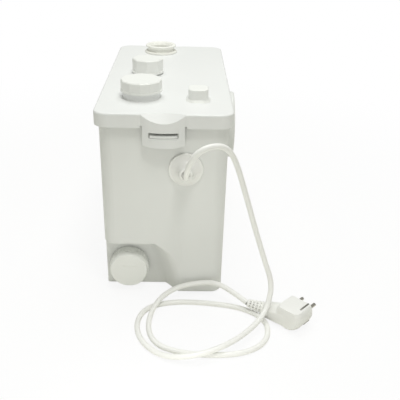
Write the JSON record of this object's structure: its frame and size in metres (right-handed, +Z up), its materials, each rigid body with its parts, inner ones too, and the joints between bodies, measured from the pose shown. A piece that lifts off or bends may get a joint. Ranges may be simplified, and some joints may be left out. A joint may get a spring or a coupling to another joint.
{
  "type": "macerator toilet pump",
  "caption": "White floor-standing toilet macerator pump: a moulded tank with a latched lid, screw-capped inlets, a round toilet collar, a top outlet sleeve, a vent and a mains lead with plug.",
  "frame": {"origin": "on the floor, under the middle of the pump's own box, with the lead and plug left out", "axes": "+Z up; Y along the pump, with the cable gland and the near low inlet at -Y; +X towards the toilet, out of the round collar"},
  "size_m": [0.2926, 0.5209, 0.291],
  "materials": {
    "tank_white": "glossy",
    "lid_white": "glossy",
    "cap_white": "satin",
    "disc_grey": "matte",
    "gland_white": "glossy",
    "collar_white": "glossy",
    "cream_rubber": "matte",
    "black_rubber": "matte",
    "pump_plastic": "matte",
    "basket_plastic": "matte",
    "cast_aluminium": "satin",
    "steel": "brushed",
    "impeller_plastic": "matte",
    "capacitor_white": "matte",
    "terminal_plastic": "matte",
    "switch_plastic": "matte",
    "filter_foam": "matte",
    "cord_white": "satin",
    "plug_white": "satin",
    "nickel": "polished"
  },
  "bodies": {
    "base": {"tank": "tank_white", "rubber_feet": "black_rubber", "lid_gasket": "black_rubber", "inlet_collar": "collar_white", "collar_seal": "black_rubber", "collar_screws": "steel", "inlet_chute": "basket_plastic", "basket": "basket_plastic", "suction_plate": "pump_plastic", "volute": "pump_plastic", "motor_bracket": "cast_aluminium", "motor_housing": "cast_aluminium", "motor_cover": "cast_aluminium", "stator": "steel", "lower_bearing": "steel", "upper_bearing": "steel", "shaft_seal": "black_rubber", "motor_bolts": "steel", "capacitor": "capacitor_white", "terminal_block": "terminal_plastic", "inner_lead": "cord_white", "valve_body": "pump_plastic", "riser_pipe": "black_rubber", "riser_clamps": "steel", "air_bell": "switch_plastic", "switch_base": "switch_plastic", "switch_cover": "switch_plastic", "microswitch": "terminal_plastic", "cable_gland": "gland_white", "gland_nut": "gland_white", "mains_cord": "cord_white", "plug_relief": "cord_white", "plug_body": "plug_white", "plug_pins": "nickel", "earth_clips": "nickel"},
    "rotor": {"shaft": "steel", "rotor_core": "steel", "impeller": "impeller_plastic", "blade": "steel", "shaft_nut": "steel"},
    "check_flap": {"check_flap": "black_rubber"},
    "diaphragm": {"diaphragm": "black_rubber"},
    "lid": {"lid": "lid_white", "outlet_sleeve": "cream_rubber", "vent_filter": "filter_foam"},
    "near_latch": {"near_latch": "lid_white"},
    "far_latch": {"far_latch": "lid_white"},
    "vent_cap": {"vent_cap": "cap_white"},
    "front_disc": {"front_disc": "disc_grey"},
    "front_cap": {"front_cap": "cap_white"},
    "rear_disc": {"rear_disc": "disc_grey"},
    "rear_cap": {"rear_cap": "cap_white"},
    "near_disc": {"near_disc": "disc_grey"},
    "near_cap": {"near_cap": "cap_white"},
    "far_disc": {"far_disc": "disc_grey"},
    "far_cap": {"far_cap": "cap_white"}
  },
  "joints": [
    {"name": "rotor_spin", "type": "hinge", "parent": "base", "child": "rotor", "pos_m": [-0.00625, 0.07, 0.12], "axis": [0, 0, 1], "continuous": true},
    {"name": "check_flap_swing", "type": "hinge", "parent": "base", "child": "check_flap", "pos_m": [-0.03585, 0.141, 0.127], "axis": [0, -1, 0], "range_deg": [0, 60]},
    {"name": "diaphragm_lift", "type": "slide", "parent": "base", "child": "diaphragm", "axis": [0, 0, 1], "range_m": [0, 0.003], "stiffness_N_per_m": 300},
    {"name": "lid_lift", "type": "slide", "parent": "base", "child": "lid", "axis": [0, 0, 1], "range_m": [0, 0.12]},
    {"name": "near_latch_flex", "type": "hinge", "parent": "lid", "child": "near_latch", "pos_m": [-0.00625, -0.193, 0.252], "axis": [-1, 0, 0], "range_deg": [0, 18], "stiffness_Nm_per_rad": 0.6},
    {"name": "far_latch_flex", "type": "hinge", "parent": "lid", "child": "far_latch", "pos_m": [-0.00625, 0.193, 0.252], "axis": [1, 0, 0], "range_deg": [0, 18], "stiffness_Nm_per_rad": 0.6},
    {"name": "vent_cap_lift", "type": "slide", "parent": "lid", "child": "vent_cap", "axis": [0, 0, 1], "range_m": [0, 0.02]},
    {"name": "front_disc_lift", "type": "slide", "parent": "lid", "child": "front_disc", "axis": [0, 0, 1], "range_m": [0, 0.009]},
    {"name": "front_cap_turn", "type": "hinge", "parent": "front_disc", "child": "front_cap", "pos_m": [-0.03775, -0.115, 0.285], "axis": [0, 0, 1], "range_deg": [0, 1081]},
    {"name": "rear_disc_lift", "type": "slide", "parent": "lid", "child": "rear_disc", "axis": [0, 0, 1], "range_m": [0, 0.009]},
    {"name": "rear_cap_turn", "type": "hinge", "parent": "rear_disc", "child": "rear_cap", "pos_m": [-0.03625, 0.003, 0.283], "axis": [0, 0, 1], "range_deg": [0, 1081]},
    {"name": "near_disc_lift", "type": "slide", "parent": "base", "child": "near_disc", "axis": [0, -1, 0], "range_m": [0, 0.009]},
    {"name": "near_cap_turn", "type": "hinge", "parent": "near_disc", "child": "near_cap", "pos_m": [-0.05545, -0.165, 0.035], "axis": [0, -1, 0], "range_deg": [0, 1081]},
    {"name": "far_disc_lift", "type": "slide", "parent": "base", "child": "far_disc", "axis": [0, 1, 0], "range_m": [0, 0.009]},
    {"name": "far_cap_turn", "type": "hinge", "parent": "far_disc", "child": "far_cap", "pos_m": [-0.05545, 0.165, 0.035], "axis": [0, 1, 0], "range_deg": [0, 1081]}
  ],
  "couplings": [
    {"joint": "front_cap_turn", "follows": "front_disc_lift", "rad_per_m": 2094.7},
    {"joint": "rear_cap_turn", "follows": "rear_disc_lift", "rad_per_m": 2094.7},
    {"joint": "near_cap_turn", "follows": "near_disc_lift", "rad_per_m": 2094.7},
    {"joint": "far_cap_turn", "follows": "far_disc_lift", "rad_per_m": 2094.7}
  ]
}
